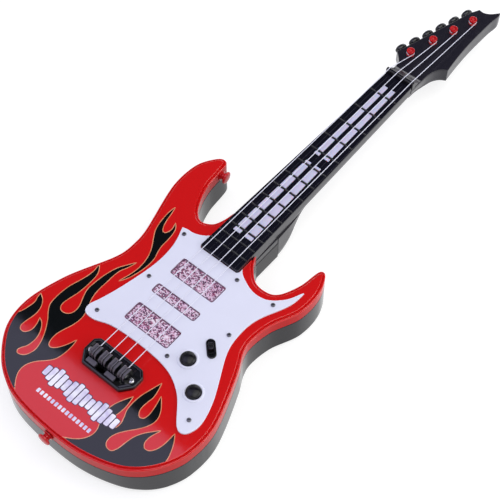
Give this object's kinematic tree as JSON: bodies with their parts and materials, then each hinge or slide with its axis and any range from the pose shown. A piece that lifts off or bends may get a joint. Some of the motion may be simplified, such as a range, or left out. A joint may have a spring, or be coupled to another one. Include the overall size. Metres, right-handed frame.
{
  "type": "toy electric guitar",
  "caption": "Toy electric guitar with a red two-horned body, white scratch plate, light blocks in a black neck, push buttons and a slide switch.",
  "frame": {"origin": "on the flat back plane, under the string line, at the bridge", "axes": "+Y along the neck to the headstock, +Z out of the front face, +X to the treble side"},
  "size_m": [0.173, 0.5263, 0.047],
  "materials": {
    "red_shell": "glossy moulded red",
    "dark_shell": "glossy dark grey",
    "white_plate": "glossy cool white",
    "dark_steel": "dull plated steel",
    "lens": "clear over sparkling foil",
    "black_trim": "glossy black",
    "ribbed_grey": "satin grey-violet",
    "chrome": "polished",
    "red_trim": "glossy red",
    "neck_black": "satin to glossy black",
    "board_black": "glossy black",
    "light_block": "milky lavender",
    "string_wire": "bright wire",
    "peg_black": "glossy black",
    "cell_wrap": "printed wrap, no text",
    "contact": "plated spring steel",
    "board_green": "solder mask",
    "speaker": "matte"
  },
  "bodies": {
    "guitar": {"front_shell": "red_shell", "back_shell": "dark_shell", "scratch_plate": "white_plate", "guard_screw_1": "dark_steel", "guard_screw_2": "dark_steel", "guard_screw_3": "dark_steel", "guard_screw_4": "dark_steel", "guard_screw_5": "dark_steel", "guard_screw_6": "dark_steel", "guard_screw_7": "dark_steel", "guard_screw_8": "dark_steel", "body_screw_1": "dark_steel", "body_screw_2": "dark_steel", "body_screw_3": "dark_steel", "neck_screw_1": "dark_steel", "neck_screw_2": "dark_steel", "pickup_lens_neck": "lens", "pickup_lens_middle": "lens", "pickup_lens_bridge": "lens", "lamp_bridge": "lens", "lamp_middle": "lens", "lamp_neck": "lens", "bridge_base": "black_trim", "switch_bezel": "black_trim", "nut": "black_trim", "bridge_saddles": "ribbed_grey", "bridge_screw_bass": "chrome", "bridge_screw_treble": "chrome", "strap_button_tail": "red_trim", "strap_button_horn": "red_trim", "string_post_1": "red_trim", "string_post_2": "red_trim", "string_post_3": "red_trim", "string_post_4": "red_trim", "neck_front": "neck_black", "neck_back": "neck_black", "fretboard": "board_black", "light_strip": "light_block", "string_1": "string_wire", "string_2": "string_wire", "string_3": "string_wire", "string_4": "string_wire", "cell_1": "cell_wrap", "cell_2": "cell_wrap", "cell_3": "cell_wrap", "contact_strip_bass": "contact", "contact_strip_treble": "contact", "circuit_board": "board_green", "loudspeaker": "speaker"},
    "button_upper": {"button_upper": "black_trim"},
    "button_lower": {"button_lower": "black_trim"},
    "switch_slider": {"switch_slider": "ribbed_grey"},
    "battery_cover": {"battery_cover": "dark_shell", "battery_screw": "dark_steel"},
    "tuning_peg_1": {"tuning_peg_1": "peg_black"},
    "tuning_peg_2": {"tuning_peg_2": "peg_black"},
    "tuning_peg_3": {"tuning_peg_3": "peg_black"},
    "tuning_peg_4": {"tuning_peg_4": "peg_black"},
    "tuning_peg_5": {"tuning_peg_5": "peg_black"},
    "tuning_peg_6": {"tuning_peg_6": "peg_black"}
  },
  "joints": [
    {"name": "button_upper_press", "type": "slide", "parent": "guitar", "child": "button_upper", "axis": [0, 0, -1], "range_m": [0, 0.002], "stiffness_N_per_m": 300, "springref_m": -0.0005},
    {"name": "button_lower_press", "type": "slide", "parent": "guitar", "child": "button_lower", "axis": [0, 0, -1], "range_m": [0, 0.002], "stiffness_N_per_m": 300, "springref_m": -0.0005},
    {"name": "switch_slide", "type": "slide", "parent": "guitar", "child": "switch_slider", "axis": [0.712, -0.7022, 0], "range_m": [0, 0.0043]},
    {"name": "battery_cover_hinge", "type": "hinge", "parent": "guitar", "child": "battery_cover", "pos_m": [-0.0337, -0.0307, 0.0002], "axis": [0, 1, 0], "range_deg": [0, 100]},
    {"name": "tuning_peg_1_turn", "type": "hinge", "parent": "guitar", "child": "tuning_peg_1", "pos_m": [-0.01855, 0.3691, 0.0275], "axis": [-0.9587, 0.2845, 0], "continuous": true},
    {"name": "tuning_peg_2_turn", "type": "hinge", "parent": "guitar", "child": "tuning_peg_2", "pos_m": [-0.01459, 0.38244, 0.0275], "axis": [-0.9587, 0.2845, 0], "continuous": true},
    {"name": "tuning_peg_3_turn", "type": "hinge", "parent": "guitar", "child": "tuning_peg_3", "pos_m": [-0.01063, 0.39578, 0.0275], "axis": [-0.9587, 0.2845, 0], "continuous": true},
    {"name": "tuning_peg_4_turn", "type": "hinge", "parent": "guitar", "child": "tuning_peg_4", "pos_m": [-0.00667, 0.40912, 0.0275], "axis": [-0.9587, 0.2845, 0], "continuous": true},
    {"name": "tuning_peg_5_turn", "type": "hinge", "parent": "guitar", "child": "tuning_peg_5", "pos_m": [-0.00271, 0.42246, 0.0275], "axis": [-0.9587, 0.2845, 0], "continuous": true},
    {"name": "tuning_peg_6_turn", "type": "hinge", "parent": "guitar", "child": "tuning_peg_6", "pos_m": [0.00125, 0.4358, 0.0275], "axis": [-0.9587, 0.2845, 0], "continuous": true}
  ]
}
